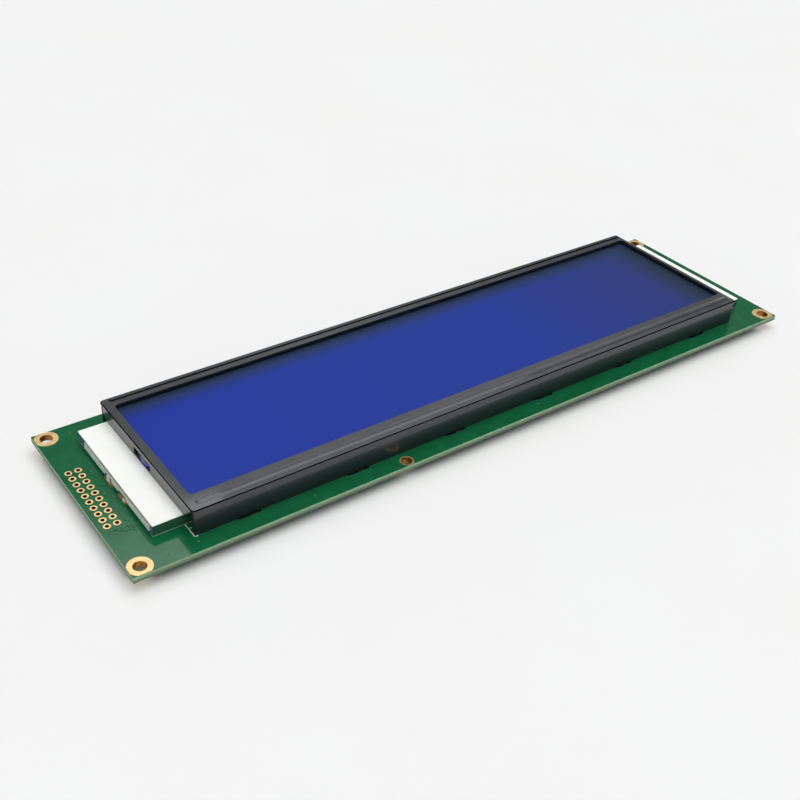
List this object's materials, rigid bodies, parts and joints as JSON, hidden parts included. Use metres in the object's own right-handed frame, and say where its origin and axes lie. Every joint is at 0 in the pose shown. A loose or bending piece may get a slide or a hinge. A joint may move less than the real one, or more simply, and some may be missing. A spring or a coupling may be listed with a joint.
{
  "type": "graphic lcd module",
  "caption": "Long display module: circuit board with corner holes and pin header pads, blue display under a black stamped bezel, edge-lit backlight.",
  "frame": {"origin": "middle of the board's outline, on the surface that the tallest rear part rests on", "axes": "+X along the board away from the header pads, +Y to the board's back long edge, +Z out of the display"},
  "size_m": [0.2196, 0.0606, 0.0121],
  "materials": {
    "solder_mask_board": "semi-gloss green solder mask on glass-epoxy board",
    "gold_lands": "bright gold-plated copper",
    "copper_lands": "tarnished copper",
    "black_bezel": "glossy black paint on stamped steel",
    "blue_polariser": "smooth blue polarising film",
    "grey_polariser": "smooth grey polarising film",
    "cell_glass": "clear polished",
    "cell_resin": "cured resin",
    "plug_resin": "cured grey resin",
    "connector_rubber": "silicone with carbon layers",
    "foam_strip": "black foam tape",
    "clear_guide": "clear moulded acrylic",
    "white_film": "white film",
    "lamp_board": "white-masked thin board",
    "lamp_white": "moulded white lamp body",
    "solder": "bright tin solder",
    "tinned_metal": "tinned leads",
    "black_mould": "matt black moulding compound",
    "glob_resin": "satin black potting resin",
    "ceramic_tan": "fired ceramic",
    "resistor_black": "glazed black",
    "tantalum_yellow": "yellow moulding compound"
  },
  "bodies": {
    "root": {"circuit_board": "solder_mask_board", "corner_lands": "gold_lands", "edge_lands": "gold_lands", "header_lands": "gold_lands", "bezel": "black_bezel", "reflector_sheet": "white_film", "light_guide": "clear_guide", "diffuser_sheet": "white_film", "led_board_left": "lamp_board", "led_board_right": "lamp_board", "leds_left": "lamp_white", "leds_right": "lamp_white", "led_lands_left": "copper_lands", "led_lands_right": "copper_lands", "led_solder_left": "solder", "led_solder_right": "solder", "rear_polariser": "grey_polariser", "rear_glass": "cell_glass", "cell_seal": "cell_resin", "front_glass": "cell_glass", "front_polariser": "blue_polariser", "end_plug": "plug_resin", "zebra_front": "connector_rubber", "zebra_back": "connector_rubber", "gasket_front": "foam_strip", "gasket_back": "foam_strip", "controller_body": "black_mould", "controller_leads": "tinned_metal", "memory_body": "black_mould", "memory_leads": "tinned_metal", "amplifier_body": "black_mould", "amplifier_leads": "tinned_metal", "driver_globs": "glob_resin", "capacitor_bodies": "ceramic_tan", "capacitor_ends": "tinned_metal", "resistor_bodies": "resistor_black", "resistor_ends": "tinned_metal", "tantalum_bodies": "tantalum_yellow", "tantalum_ends": "tinned_metal", "resonator": "ceramic_tan"}
  },
  "joints": []
}
